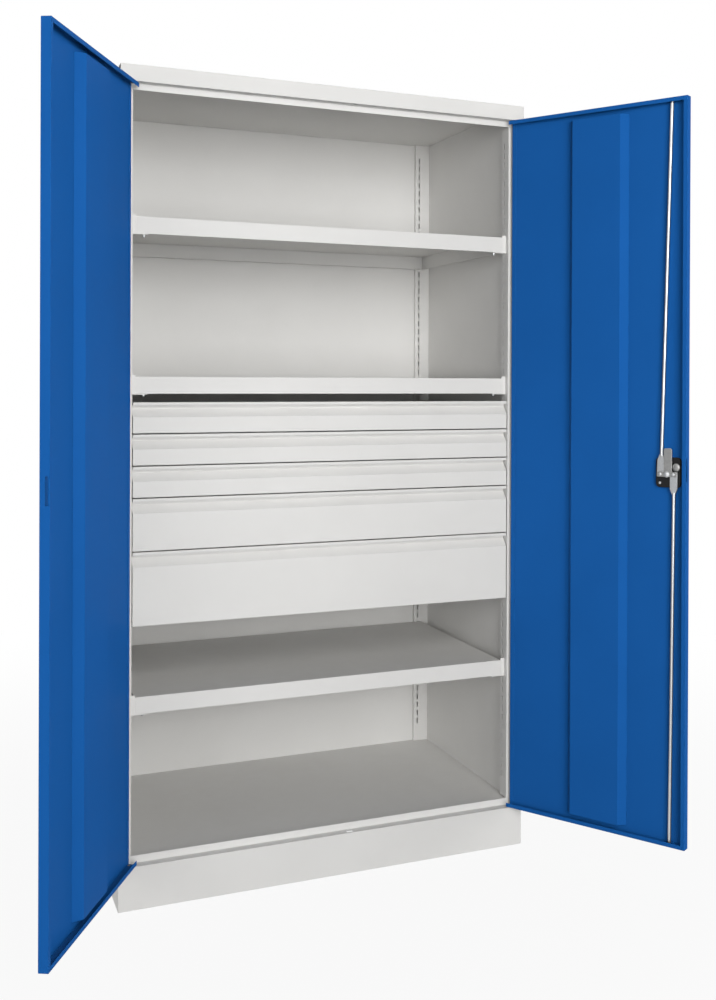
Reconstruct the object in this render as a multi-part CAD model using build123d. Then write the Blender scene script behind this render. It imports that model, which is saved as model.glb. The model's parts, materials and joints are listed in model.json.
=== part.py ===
from build123d import *
import math
import os

# Heavy-duty storage cabinet: folded-sheet carcass, two wing doors, three shelves and five drawers.
# Millimetres, +Z up, +X to the right of someone facing the cabinet, front at -Y,
# origin at the middle of the footprint on the floor.

# Overall size
height = 1950.0
width = 1040.0
depth = 600.0
sheet = 1.5
wall = 20.0
plinth_height = 100.0
plinth_foot = 20.0

# Front frame: the doors lie in a rebate, against a narrow stop all round, and reach into the side walls
fascia_height = 38.0
rebate = 24.0
top_stop_height = 15.0
bottom_stop_height = 17.0
bottom_stop_depth = 6.0
board_drop = 3.0
door_recess = 6.0

# Slotted uprights
upright_sheet = 1.5
front_upright_depth = 37.0
front_upright_proud = 12.0
rear_upright_width = 45.0
rear_upright_proud = 10.5
slot_pitch = 25.0
slot_width = 4.0
slot_height = 16.0
slot_inset = 12.0
slot_margin = 40.0

# Shelves and their clips
shelf_heights = [1600.0, 1225.0, 475.0]
shelf_above_slot = 6.0
shelf_thickness = 40.0
shelf_sheet = 1.2
shelf_return = 15.0
shelf_setback = 14.0
shelf_end_gap = 11.0
clip_sheet = 2.0
clip_rise = 5.0
clip_tongue = 26.0
clip_length = 18.0
hook_height = 12.0
hook_drop = 4.0
hook_gap = 0.2

# Drawers, from the top down
drawer_modules = [75.0, 75.0, 75.0, 125.0, 175.0]
drawer_block_top = 1171.0
drawer_gap = 3.0
front_setback = 2.0
front_side_gap = 2.0
front_sheet = 1.2
front_depth = 18.0
front_return = 14.0
lip_height = 7.6
grip_back_height = 7.4
grip_slope_height = 19.6
tray_length = 500.0
tray_sheet = 1.0
tray_rise = 2.0
tray_drop = 7.0
tray_rim = 8.0
tray_slot_spacing = 190.0
tray_slot_width = 7.0
tray_slot_height = 5.0
tray_slot_drop = 10.5

# Telescopic slides: three nested channels on each side of a drawer
slide_space = 13.0
slide_height = 36.0
slide_sheet = 1.2
slide_clearance = 0.3
slide_lift = 24.0
slide_setback = 2.0
fixed_flange = 10.0

# Doors
door_sheet = 1.2
door_depth = 21.0
door_top_gap = 3.0
door_bottom_gap = 2.0
door_side_gap = 2.5
door_middle_gap = 3.0
door_bend = 2.0
door_lip = 10.0
hinge_hem = 12.0
left_open_angle = 118.0
right_open_angle = 121.0

# Hinge pins
pin_diameter = 6.0
pin_clearance = 0.05
pin_from_edge = 8.0
pin_from_face = 5.0
pin_length = 15.0
pin_collar_diameter = 9.0

# Stiffener: one wide hat section along the inside of each door
hat_width = 166.0
hat_middle = 257.5
hat_slope = 16.0
hat_sheet = 1.0
hat_end_gap = 22.0

# Rod lock, on the inside of the right door
lock_height = 1000.0
lock_from_edge = 52.0
case_width = 64.0
case_height = 73.0
case_depth = 8.4
case_corner = 6.0
case_offset = 1.0
case_drop = 32.0
shaft_diameter = 10.0
shaft_clearance = 0.05
cam_sheet = 3.0
cam_width = 51.0
cam_height = 12.0
cam_corner = 2.0
rod_throw = 17.0
rivet_diameter = 6.0
rivet_clearance = 0.05
stack_clearance = 0.3
tongue_width = 21.0
tongue_length = 63.0
tongue_offset = 3.0
tongue_clearance = 1.5
tongue_corner = 3.0
rod_diameter = 8.0
rod_depth = 10.0
rod_guide_from_edge = 43.5
rod_slack = 4.0
rod_fit = 0.3
rod_tip = 1.5
rod_end_chamfer = 1.2
rod_case_gap = 3.0
rod_flat_width = 19.0
rod_flat_sheet = 3.0
rod_flat_below = 6.0
rod_flat_taper = 14.0
ledge_slot_width = 17.0
ledge_slot_depth = 11.0

# Turning handle on the outside of the right door
plate_width = 46.0
plate_height = 130.0
plate_sheet = 3.0
plate_corner = 10.0
plate_rise = 25.0
handle_gap = 0.3
hub_diameter = 34.0
hub_length = 20.0
hub_chamfer = 1.5
lever_length = 105.0
lever_width = 22.0
lever_tip_width = 17.0
lever_thickness = 10.0
lever_chamfer = 2.0
core_diameter = 18.0
core_length = 14.0
core_proud = 1.5
core_clearance = 0.05
keyway_width = 2.4
keyway_height = 9.0
keyway_depth = 6.0

# Places that follow from the sizes above
front = -depth / 2
back = depth / 2
inner_x = width / 2 - wall
recess_x = inner_x + door_recess
upright_x = inner_x - front_upright_proud
stop_y = front + rebate
ledge_depth = rebate + sheet
fascia_bottom = height - fascia_height
top_stop_bottom = fascia_bottom - top_stop_height
bottom_stop_top = plinth_height + bottom_stop_height
board_top = bottom_stop_top - board_drop
rear_face_y = back - sheet - rear_upright_proud
shelf_x = upright_x - shelf_end_gap
shelf_front = stop_y + shelf_setback
shelf_back = rear_face_y - clip_sheet
front_x = upright_x - front_side_gap
drawer_front_y = stop_y + front_setback
tray_front_y = drawer_front_y + front_depth
tray_x = upright_x - slide_space
slide_front_y = tray_front_y + slide_setback
slide_rear_y = tray_front_y + tray_length
door_bottom = plinth_height + door_bottom_gap
door_top = fascia_bottom - door_top_gap
hinge_edge_x = recess_x - door_side_gap
pivot_x = hinge_edge_x - pin_from_edge
pivot_y = front + pin_from_face
free_edge_x = door_middle_gap / 2
lock_x = free_edge_x + lock_from_edge
guide_x = free_edge_x + rod_guide_from_edge
rod_y = front + rod_depth
rod_bar_start = max(case_drop, case_height - case_drop) + rod_case_gap
flat_front_y = front + door_sheet + case_depth + stack_clearance
cam_front_y = flat_front_y + rod_flat_sheet + stack_clearance


def span(x0, x1, y0, y1, z0, z1):
    """A block between two corners."""
    block = Box(x1 - x0, y1 - y0, z1 - z0, align=(Align.MIN, Align.MIN, Align.MIN))
    return Pos(x0, y0, z0) * block


def folded(points, thickness):
    """Section of a sheet folded along the points, with its thickness on their left."""
    ribbon = []
    count = len(points)
    for i, point in enumerate(points):
        here = Vector(*point)
        before = (here - Vector(*points[i - 1])).normalized() if i > 0 else None
        after = (Vector(*points[i + 1]) - here).normalized() if i < count - 1 else None
        first = before or after
        second = after or before
        shift = thickness / (1 + first.dot(second))
        sides = Vector(-first.Y - second.Y, first.X + second.X)
        inner = here + sides * shift
        ribbon.append((inner.X, inner.Y))
    return make_face(Polyline(*points, *reversed(ribbon), close=True))


def along_x(section, x0, x1):
    """A section drawn as (y, z), drawn out from x0 to x1."""
    return Pos(x0, 0, 0) * extrude(Plane.YZ * section, x1 - x0)


def along_y(section, y0, y1):
    """A section drawn as (x, z), drawn out from y0 to y1."""
    return Pos(0, y1, 0) * extrude(Plane.XZ * section, y1 - y0)


def along_z(section, z0, z1):
    """A section drawn as (x, y), drawn out from z0 to z1."""
    return Pos(0, 0, z0) * extrude(section, z1 - z0)


def mirrored(shape):
    """The same piece on the left-hand side."""
    return mirror(shape, about=Plane.YZ)


def bore(x, y, z, diameter, length, axis="z"):
    """A round cutter centred on a point."""
    turned = {"z": Rot(0, 0, 0), "y": Rot(90, 0, 0), "x": Rot(0, 90, 0)}[axis]
    return Pos(x, y, z) * turned * Cylinder(diameter / 2, length)


def save(shape, node):
    export_step(shape, f"parts/{node}.step")


# Carcass


def plinth_rail(length, flange_end):
    """A channel with its web's outer face at y = 0; its flanges stop short of its ends."""
    flange_depth = ledge_depth + sheet
    profile = [
        (flange_depth, plinth_height),
        (0, plinth_height),
        (0, 0),
        (plinth_foot, 0),
    ]
    rail = along_x(folded(profile, sheet), -length / 2, length / 2)
    for x0, x1 in ((-length, flange_end - length / 2), (length / 2 - flange_end, length)):
        rail -= span(x0, x1, sheet, flange_depth + 1, -1, plinth_height + 1)
    return rail


def ledge_slot(z):
    """Cutter for the hole that a lock rod enters."""
    half = ledge_slot_width / 2
    return span(
        guide_x - half,
        guide_x + half,
        rod_y - ledge_slot_depth / 2,
        rod_y + ledge_slot_depth / 2,
        z - sheet * 2,
        z + sheet * 2,
    )


def plinth():
    """Four rails welded to a frame; the side webs close the ends of the front and back rails."""
    across = plinth_rail(width - 2 * sheet, 0)
    along = plinth_rail(depth, ledge_depth + sheet)
    frame = Pos(0, front, 0) * across + Pos(0, back, 0) * Rot(0, 0, 180) * across
    frame += Pos(width / 2, 0, 0) * Rot(0, 0, 90) * along
    frame += Pos(-width / 2, 0, 0) * Rot(0, 0, -90) * along
    return frame - ledge_slot(plinth_height)


def side_panel():
    """A double-skinned wall, stepped beside the door and notched at the top for the fascia."""
    x1 = width / 2
    y1 = back - sheet
    top = height - sheet
    plan = [
        (inner_x, y1),
        (inner_x, stop_y),
        (recess_x, stop_y),
        (recess_x, front),
        (x1, front),
        (x1, y1),
    ]
    outline = make_face(Polyline(*plan, close=True))
    section = outline - offset(outline, amount=-sheet, kind=Kind.INTERSECTION)
    wall = along_z(section, plinth_height, top)
    notch = span(
        inner_x - 1, x1 + 1, front - 1, front + ledge_depth, fascia_bottom, top + 1
    )
    return wall - notch


def back_panel():
    return span(
        -width / 2, width / 2, back - sheet, back, plinth_height, height - sheet
    )


def top_panel():
    """Roof, fascia and the ledge above the doors, folded from one sheet."""
    profile = [
        (front + ledge_depth, fascia_bottom),
        (front, fascia_bottom),
        (front, height),
        (back, height),
    ]
    roof = along_x(folded(list(reversed(profile)), sheet), -width / 2, width / 2)
    return roof - ledge_slot(fascia_bottom)


def top_stop():
    return span(
        -inner_x, inner_x, stop_y, stop_y + sheet, top_stop_bottom, fascia_bottom
    )


def bottom_panel():
    """Bottom board with the raised stop along its front edge."""
    lip_back = stop_y + bottom_stop_depth
    profile = [
        (stop_y, plinth_height),
        (stop_y, bottom_stop_top),
        (lip_back, bottom_stop_top),
        (lip_back, board_top),
        (back - sheet, board_top),
    ]
    return along_x(folded(list(reversed(profile)), sheet), -inner_x, inner_x)


def slot_places(bottom, top):
    """Heights of the slots between two ends of an upright."""
    first = math.ceil((bottom + slot_margin) / slot_pitch)
    last = math.floor((top - slot_margin) / slot_pitch)
    return [k * slot_pitch for k in range(first, last + 1)]


def front_upright():
    """The right-hand one: a channel, its slotted web facing the middle of the cabinet."""
    back_y = stop_y + front_upright_depth
    profile = [
        (inner_x, back_y),
        (upright_x, back_y),
        (upright_x, stop_y),
        (inner_x, stop_y),
    ]
    section = folded(profile, upright_sheet)
    post = along_z(section, bottom_stop_top, top_stop_bottom)
    slot_y = back_y - slot_inset
    slots = [
        Pos(upright_x, slot_y, z) * Box(4 * upright_sheet, slot_width, slot_height)
        for z in slot_places(bottom_stop_top, top_stop_bottom)
    ]
    return post - slots


def rear_upright():
    """The right-hand one: an angle on the back wall, its slotted face to the front."""
    edge_x = inner_x - rear_upright_width
    profile = [(edge_x, back - sheet), (edge_x, rear_face_y), (inner_x, rear_face_y)]
    section = folded(profile, upright_sheet)
    post = along_z(section, board_top, height - sheet)
    slot_x = edge_x + slot_inset
    slots = [
        Pos(slot_x, rear_face_y, z) * Box(slot_width, 4 * upright_sheet, slot_height)
        for z in slot_places(board_top, height - sheet)
    ]
    return post - slots


def hinge_pin(z, down):
    """Right-hand pin through a door's end flange; the lower one has a collar under the door."""
    pin = Pos(pivot_x, pivot_y, z) * Cylinder(
        pin_diameter / 2,
        pin_length,
        align=(Align.CENTER, Align.CENTER, Align.MAX if down else Align.MIN),
    )
    if down:
        return pin
    collar = Pos(pivot_x, pivot_y, z) * Cylinder(
        pin_collar_diameter / 2,
        door_bottom_gap,
        align=(Align.CENTER, Align.CENTER, Align.MIN),
    )
    return pin + collar


def shelf(top):
    """A tray turned upside down, with a return along its front and back edges."""
    bottom = top - shelf_thickness
    outer = span(-shelf_x, shelf_x, shelf_front, shelf_back, bottom, top)
    opening = outer.faces().sort_by(Axis.Z)[0]
    pan = offset(outer, amount=-shelf_sheet, openings=opening)
    for y0 in (shelf_front, shelf_back - shelf_return):
        pan += span(-shelf_x, shelf_x, y0, y0 + shelf_return, bottom, bottom + shelf_sheet)
    return pan


def on_slot(height):
    """Top of a shelf whose clips hook into the slots nearest to a wished height."""
    return round(height / slot_pitch) * slot_pitch + shelf_above_slot


def clip_hooks(low, high):
    """Hooks reaching along +X from x = 0, one for each slot between two heights."""
    neck_height = hook_height - hook_drop
    hooks = []
    for k in range(math.ceil(low / slot_pitch), math.floor(high / slot_pitch) + 1):
        top = k * slot_pitch + hook_height / 2
        if top > high or top - hook_height < low:
            continue
        y = clip_sheet / 2
        neck = span(0, upright_sheet + hook_gap, -y, y, top - neck_height, top)
        x0 = upright_sheet + hook_gap
        hooks += [neck, span(x0, x0 + clip_sheet, -y, y, top - hook_height, top)]
    return hooks


def front_clip(top):
    """Right-hand bracket between a shelf and the front upright."""
    low = top - shelf_thickness - clip_sheet
    high = top + clip_rise
    y1 = shelf_front + clip_length
    cheek = span(upright_x - clip_sheet, upright_x, shelf_front, y1, low, high)
    cover = span(shelf_x, upright_x, shelf_front, shelf_front + clip_sheet, low, high)
    tongue = span(
        shelf_x - clip_tongue, upright_x, shelf_front, y1, low, low + clip_sheet
    )
    slot_y = stop_y + front_upright_depth - slot_inset
    hooks = [Pos(upright_x, slot_y, 0) * hook for hook in clip_hooks(low, high)]
    return cheek + cover + tongue + hooks


def rear_clip(top):
    """Right-hand bracket between a shelf and the rear upright."""
    low = top - shelf_thickness - clip_sheet
    x1 = shelf_x - clip_sheet
    x0 = x1 - clip_length
    high = low + clip_tongue
    plate = span(x0, x1, shelf_back, rear_face_y, low, high)
    tongue = span(x0, x1, shelf_back - clip_tongue, rear_face_y, low, low + clip_sheet)
    place = Pos(inner_x - rear_upright_width + slot_inset, rear_face_y, 0)
    hooks = [place * Rot(0, 0, 90) * hook for hook in clip_hooks(low, high)]
    return plate + tongue + hooks


def shelf_clips(top):
    right = [front_clip(top), rear_clip(top)]
    return Compound(children=[*right, *[mirrored(clip) for clip in right]])


# Drawers and their slides


def drawer_tops():
    """Top edge of each drawer front, from the top down."""
    tops = []
    top = drawer_block_top
    for module in drawer_modules:
        tops.append(top)
        top -= module
    return tops


def channel(x_web, x_tip, half_height, z, y0, y1):
    """A slide's channel section, its web at x_web and its flanges reaching to x_tip."""
    profile = [
        (x_tip, z - half_height),
        (x_web, z - half_height),
        (x_web, z + half_height),
        (x_tip, z + half_height),
    ]
    if x_tip < x_web:
        section = folded(profile, slide_sheet)
    else:
        section = folded(list(reversed(profile)), slide_sheet)
    return along_y(section, y0, y1)


def slide_members(z):
    """Right-hand fixed, middle and drawer channels of one drawer, nested in each other."""
    step = slide_sheet + slide_clearance
    half = slide_height / 2
    fixed = channel(
        upright_x, upright_x - fixed_flange, half, z, slide_front_y, rear_face_y
    )
    middle_web = upright_x - step
    middle_tip = tray_x + step
    middle = channel(middle_web, middle_tip, half - step, z, slide_front_y, slide_rear_y)
    inner_tip = middle_web - step
    inner = channel(tray_x, inner_tip, half - 2 * step, z, slide_front_y, slide_rear_y)
    return fixed, middle, inner


def both_sides(right):
    return Compound(children=[right, mirrored(right)])


def drawer_front(top, module):
    """A sheet folded round a full-width finger grip below its top lip."""
    bottom = top - module + drawer_gap
    y0 = drawer_front_y
    y1 = drawer_front_y + front_depth
    grip_y = y1 - front_sheet
    lip_bottom = top - lip_height
    grip_bottom = lip_bottom - grip_back_height
    profile = [
        (y1, top),
        (y0, top),
        (y0, lip_bottom),
        (grip_y, lip_bottom),
        (grip_y, grip_bottom),
        (y0, grip_bottom - grip_slope_height),
        (y0, bottom),
        (y1, bottom),
        (y1, bottom + front_return),
    ]
    return along_x(folded(profile, front_sheet), -front_x, front_x)


def drawer_tray(top, module):
    """An open tray with folded rims and two slots under the edge of its back wall."""
    floor = top - module + drawer_gap + tray_rise
    rim = top - tray_drop
    y0 = tray_front_y
    y1 = y0 + tray_length
    outer = span(-tray_x, tray_x, y0, y1, floor, rim)
    tray = offset(outer, amount=-tray_sheet, openings=outer.faces().sort_by(Axis.Z)[-1])
    for side in (-1, 1):
        edges = sorted((side * tray_x, side * (tray_x - tray_rim)))
        tray += span(edges[0], edges[1], y0, y1, rim - tray_sheet, rim)
        slot = Box(tray_slot_width, 4 * tray_sheet, tray_slot_height)
        tray -= Pos(side * tray_slot_spacing / 2, y1, rim - tray_slot_drop) * slot
    return tray


# Doors, drawn closed on the right-hand side and turned about their pins


def at_left(shape):
    turned = Rot(0, 0, -left_open_angle) * (Pos(pivot_x, -pivot_y, 0) * mirrored(shape))
    return Pos(-pivot_x, pivot_y, 0) * turned


def at_right(shape):
    turned = Rot(0, 0, right_open_angle) * (Pos(-pivot_x, -pivot_y, 0) * shape)
    return Pos(pivot_x, pivot_y, 0) * turned


def tongue_slot():
    """Cutter in the free edge of a door for the lock's tongue."""
    outer_side = tongue_width / 2 + tongue_offset
    reach = math.hypot(tongue_length, outer_side)
    flange_x = lock_from_edge - door_sheet
    rise = math.sqrt(reach**2 - flange_x**2)
    x0 = free_edge_x - 1
    return span(
        x0,
        x0 + door_sheet + 2,
        cam_front_y - tongue_clearance,
        cam_front_y + cam_sheet + tongue_clearance,
        lock_height - outer_side - tongue_clearance,
        lock_height + rise + tongue_clearance,
    )


def leaf():
    """A door's sheet: flanges on three sides, a lip on the free edge, a hem at the hinge."""
    x0 = free_edge_x
    x1 = hinge_edge_x
    y1 = front + door_depth
    block = span(x0, x1, front, y1, door_bottom, door_top)
    outer_edges = block.edges().filter_by_position(Axis.Y, front, front)
    block = fillet(outer_edges.filter_by_position(Axis.X, x0, x1 - 1), door_bend)
    cavity = span(
        x0 + door_sheet,
        x1 + 1,
        front + door_sheet,
        y1 + 1,
        door_bottom + door_sheet,
        door_top - door_sheet,
    )
    lip = span(x0, x0 + door_lip, y1 - door_sheet, y1, door_bottom, door_top)
    hem_y = front + door_sheet
    hem = span(
        x1 - hinge_hem,
        x1,
        hem_y,
        hem_y + door_sheet,
        door_bottom + door_sheet,
        door_top - door_sheet,
    )
    return block - cavity + lip + hem - tongue_slot() - pin_holes()


def pin_holes():
    """Cutters through both end flanges and past the hem beside the pins."""
    diameter = pin_diameter + 2 * pin_clearance
    places = [door_bottom, door_top]
    return [bore(pivot_x, pivot_y, z, diameter, 2 * pin_length) for z in places]


def guide_slot(z, side):
    """Cutter through an end flange for a rod, long enough for its swing to one side."""
    half = rod_diameter / 2 + rod_fit
    x0 = guide_x - half - (rod_slack if side < 0 else 0)
    x1 = guide_x + half + (rod_slack if side > 0 else 0)
    return span(x0, x1, rod_y - half, rod_y + half, z - 2 * door_sheet, z + 2 * door_sheet)


def right_leaf():
    """The leaf with its holes for the rods and the lock's shaft."""
    shaft_hole = bore(
        lock_x,
        front,
        lock_height,
        shaft_diameter + 2 * shaft_clearance,
        4 * door_sheet,
        "y",
    )
    return leaf() - guide_slot(door_top, 1) - guide_slot(door_bottom, -1) - shaft_hole


def stiffener():
    """A hat section, its open side on the door's skin."""
    middle = hinge_edge_x - hat_middle
    base = front + door_sheet
    crown = front + door_depth
    half = hat_width / 2
    profile = [
        (middle - half, base),
        (middle - half + hat_slope, crown),
        (middle + half - hat_slope, crown),
        (middle + half, base),
    ]
    outside = make_face(Polyline(*profile, close=True))
    run = hat_slope / (crown - base)
    flank = hat_sheet * math.hypot(1, run)
    inner_crown = crown - hat_sheet
    lean = run * (inner_crown - base)
    inside = make_face(
        Polyline(
            (middle - half + flank, base),
            (middle - half + flank + lean, inner_crown),
            (middle + half - flank - lean, inner_crown),
            (middle + half - flank, base),
            close=True,
        )
    )
    return along_z(outside - inside, door_bottom + hat_end_gap, door_top - hat_end_gap)


# Rod lock


def lock_case():
    """Flat black housing on the door's skin, with rounded corners and a hole for the shaft."""
    x0 = lock_x - case_width / 2 - case_offset
    z0 = lock_height - case_drop
    y0 = front + door_sheet
    block = span(x0, x0 + case_width, y0, y0 + case_depth, z0, z0 + case_height)
    block = fillet(block.edges().filter_by(Axis.Y), case_corner)
    hole = shaft_diameter + 2 * shaft_clearance
    return block - bore(lock_x, y0, lock_height, hole, 4 * case_depth, "y")


def cam_plate():
    """Cross bar, tongue, shaft and the two rivets that drive the rods, as one solid."""
    y0 = cam_front_y
    outline = Rectangle(cam_width, cam_height)
    outline = chamfer(outline.vertices(), cam_corner)
    bar = Pos(lock_x, 0, lock_height) * along_y(outline, y0, y0 + cam_sheet)
    middle = lock_x - tongue_offset
    tongue = span(
        middle - tongue_width / 2,
        middle + tongue_width / 2,
        y0,
        y0 + cam_sheet,
        lock_height,
        lock_height + tongue_length,
    )
    tongue = chamfer(tongue.edges().filter_by(Axis.Y).group_by(Axis.Z)[-1], tongue_corner)
    plate = bar + tongue
    shaft_y0 = front - plate_sheet - handle_gap
    plate += Pos(lock_x, shaft_y0, lock_height) * Rot(-90, 0, 0) * Cylinder(
        shaft_diameter / 2, y0 - shaft_y0, align=(Align.CENTER, Align.CENTER, Align.MIN)
    )
    rivet_length = rod_flat_sheet + stack_clearance
    for side in (-1, 1):
        rivet = Cylinder(
            rivet_diameter / 2, rivet_length, align=(Align.CENTER, Align.CENTER, Align.MAX)
        )
        plate += Pos(lock_x + side * rod_throw, y0, lock_height) * Rot(-90, 0, 0) * rivet
    return plate


def rod(side):
    """side 1: upper rod; side -1: lower rod. A round bar flattened where the cam holds it."""
    pin_x = lock_x + side * rod_throw
    end_z = door_top + rod_tip if side > 0 else door_bottom - rod_tip
    lean = math.degrees(math.atan2(pin_x - guide_x, end_z - lock_height))
    reach = math.hypot(pin_x - guide_x, end_z - lock_height)
    bar = Pos(0, rod_y, rod_bar_start) * Cylinder(
        rod_diameter / 2,
        reach - rod_bar_start,
        align=(Align.CENTER, Align.CENTER, Align.MIN),
    )
    bar = chamfer(bar.edges().sort_by(Axis.Z)[-1], rod_end_chamfer)
    flat_end = rod_bar_start + rod_diameter / 2
    shoulder = flat_end - rod_flat_taper
    outline = [
        (-rod_flat_width / 2, -rod_flat_below),
        (rod_flat_width / 2, -rod_flat_below),
        (rod_flat_width / 2, shoulder),
        (rod_diameter / 2, flat_end),
        (-rod_diameter / 2, flat_end),
        (-rod_flat_width / 2, shoulder),
    ]
    flat = make_face(Polyline(*outline, close=True))
    bar += along_y(flat, flat_front_y, flat_front_y + rod_flat_sheet)
    hole = rivet_diameter + 2 * rivet_clearance
    bar -= bore(0, flat_front_y, 0, hole, 4 * rod_flat_sheet, "y")
    if side < 0:
        bar = Rot(0, 180, 0) * bar
        lean = math.degrees(math.atan2(pin_x - guide_x, end_z - lock_height)) - 180
    return Pos(pin_x, 0, lock_height) * Rot(0, -lean, 0) * bar


def lock_plate():
    """Plate under the handle, on the outside of the door."""
    section = Pos(lock_x, lock_height + plate_rise) * RectangleRounded(
        plate_width, plate_height, plate_corner
    )
    plate = along_y(section, front - plate_sheet, front)
    hole = shaft_diameter + 2 * shaft_clearance
    return plate - bore(lock_x, front, lock_height, hole, 4 * plate_sheet, "y")


def handle():
    """A hub with a tapered lever hanging from it, bored for the lock's core."""
    y1 = front - plate_sheet - handle_gap
    y0 = y1 - hub_length
    hub = Pos(lock_x, y1, lock_height) * Rot(90, 0, 0) * Cylinder(
        hub_diameter / 2, hub_length, align=(Align.CENTER, Align.CENTER, Align.MIN)
    )
    hub = chamfer(hub.edges().filter_by(GeomType.CIRCLE).sort_by(Axis.Y)[0], hub_chamfer)
    tip = Pos(lock_x, lock_height - lever_length) * Circle(lever_tip_width / 2)
    root = Pos(lock_x, lock_height) * Circle(lever_width / 2)
    lever = along_y(make_hull((tip + root).edges()), y0, y0 + lever_thickness)
    lever = chamfer(lever.faces().sort_by(Axis.Y)[0].edges(), lever_chamfer)
    body = hub + lever
    hole = core_diameter + 2 * core_clearance
    return body - bore(lock_x, y0, lock_height, hole, 2 * core_length, "y")


def key_core():
    """The lock's cylinder, with its keyway."""
    y0 = front - plate_sheet - handle_gap - hub_length
    core = Pos(lock_x, y0 - core_proud, lock_height) * Rot(-90, 0, 0) * Cylinder(
        core_diameter / 2,
        core_length + core_proud,
        align=(Align.CENTER, Align.CENTER, Align.MIN),
    )
    keyway = span(
        lock_x - keyway_width / 2,
        lock_x + keyway_width / 2,
        y0 - core_proud - 1,
        y0 - core_proud + keyway_depth,
        lock_height - keyway_height / 2,
        lock_height + keyway_height / 2,
    )
    return core - keyway


def save_carcass():
    save(plinth(), "plinth")
    save(side_panel(), "side_right")
    save(mirrored(side_panel()), "side_left")
    save(back_panel(), "back_panel")
    save(top_panel(), "top_panel")
    save(top_stop(), "top_stop")
    save(bottom_panel(), "bottom_panel")
    save(front_upright(), "upright_front_right")
    save(mirrored(front_upright()), "upright_front_left")
    save(rear_upright(), "upright_rear_right")
    save(mirrored(rear_upright()), "upright_rear_left")
    upper = hinge_pin(fascia_bottom, True)
    lower = hinge_pin(plinth_height, False)
    save(upper, "hinge_pin_top_right")
    save(lower, "hinge_pin_bottom_right")
    save(mirrored(upper), "hinge_pin_top_left")
    save(mirrored(lower), "hinge_pin_bottom_left")
    for number, top in enumerate(map(on_slot, shelf_heights), 1):
        save(shelf(top), f"shelf_{number}")
        save(shelf_clips(top), f"shelf_clips_{number}")


def save_drawers():
    fixed_members = []
    for number, (top, module) in enumerate(zip(drawer_tops(), drawer_modules), 1):
        centre = top - module + drawer_gap + slide_lift
        fixed, middle, inner = slide_members(centre)
        fixed_members.append(fixed)
        save(both_sides(middle), f"slide_middle_{number}")
        save(both_sides(inner), f"slide_inner_{number}")
        save(drawer_front(top, module), f"drawer_front_{number}")
        save(drawer_tray(top, module), f"drawer_tray_{number}")
    save(Compound(children=fixed_members), "slides_fixed_right")
    left = [mirrored(member) for member in fixed_members]
    save(Compound(children=left), "slides_fixed_left")


def save_doors():
    save(at_left(leaf()), "left_leaf")
    save(at_left(stiffener()), "left_stiffener")
    save(at_right(right_leaf()), "right_leaf")
    save(at_right(stiffener()), "right_stiffener")
    save(at_right(lock_case()), "lock_case")
    save(at_right(lock_plate()), "lock_plate")
    save(at_right(cam_plate()), "lock_cam")
    save(at_right(rod(1)), "rod_top")
    save(at_right(rod(-1)), "rod_bottom")
    save(at_right(handle()), "lock_handle")
    save(at_right(key_core()), "key_core")


os.makedirs("parts", exist_ok=True)
save_carcass()
save_drawers()
save_doors()
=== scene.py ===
"""Looks of a folded-sheet storage cabinet: wing doors, shelves, drawers and a rod lock.

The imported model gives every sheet, slide and rod. This script dresses them in powder coat,
zinc plate and black moulding, adds the small fasteners and the lips of the doors' flanges,
gives the lock case and hinge pins finer shapes, and sets up the studio and camera.
"""

import json
import logging
import math
from collections.abc import Callable, Iterable
from dataclasses import dataclass, field
from enum import Enum

import bmesh
import bpy
from mathutils import Matrix, Vector


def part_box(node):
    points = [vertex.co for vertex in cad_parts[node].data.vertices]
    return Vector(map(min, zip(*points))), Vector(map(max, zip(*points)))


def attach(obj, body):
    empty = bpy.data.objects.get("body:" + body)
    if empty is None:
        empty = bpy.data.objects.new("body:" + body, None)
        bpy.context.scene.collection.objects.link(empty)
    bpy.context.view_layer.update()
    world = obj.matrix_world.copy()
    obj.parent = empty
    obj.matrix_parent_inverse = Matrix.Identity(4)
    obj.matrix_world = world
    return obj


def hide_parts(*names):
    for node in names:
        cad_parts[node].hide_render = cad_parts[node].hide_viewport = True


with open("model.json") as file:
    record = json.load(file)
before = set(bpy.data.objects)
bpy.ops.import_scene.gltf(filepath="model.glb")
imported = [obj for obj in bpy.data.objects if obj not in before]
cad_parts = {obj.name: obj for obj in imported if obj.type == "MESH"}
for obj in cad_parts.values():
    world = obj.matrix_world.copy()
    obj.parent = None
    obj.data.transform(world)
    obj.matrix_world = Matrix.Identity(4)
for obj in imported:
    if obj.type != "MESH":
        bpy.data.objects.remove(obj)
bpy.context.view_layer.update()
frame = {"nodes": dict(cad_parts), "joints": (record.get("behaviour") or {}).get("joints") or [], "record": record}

log = logging.getLogger("cabinet")

Colour = tuple[float, float, float]
Socket = bpy.types.NodeSocket
FLOAT = "NodeSocketFloat"
VECTOR = "NodeSocketVector"


class Body(Enum):
    """The moving bodies that added pieces ride on."""

    CARCASS = "carcass"
    LEFT_DOOR = "left_door"
    RIGHT_DOOR = "right_door"
    LOCK = "lock"
    DRAWER_1 = "drawer_1"
    DRAWER_2 = "drawer_2"
    DRAWER_3 = "drawer_3"
    DRAWER_4 = "drawer_4"
    DRAWER_5 = "drawer_5"


class Slot(Enum):
    """The record's material slots, named for the added pieces."""

    BLUE = "blue_paint"
    ZINC = "zinc_steel"
    BLACK = "black_plastic"


# Shader groups


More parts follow.
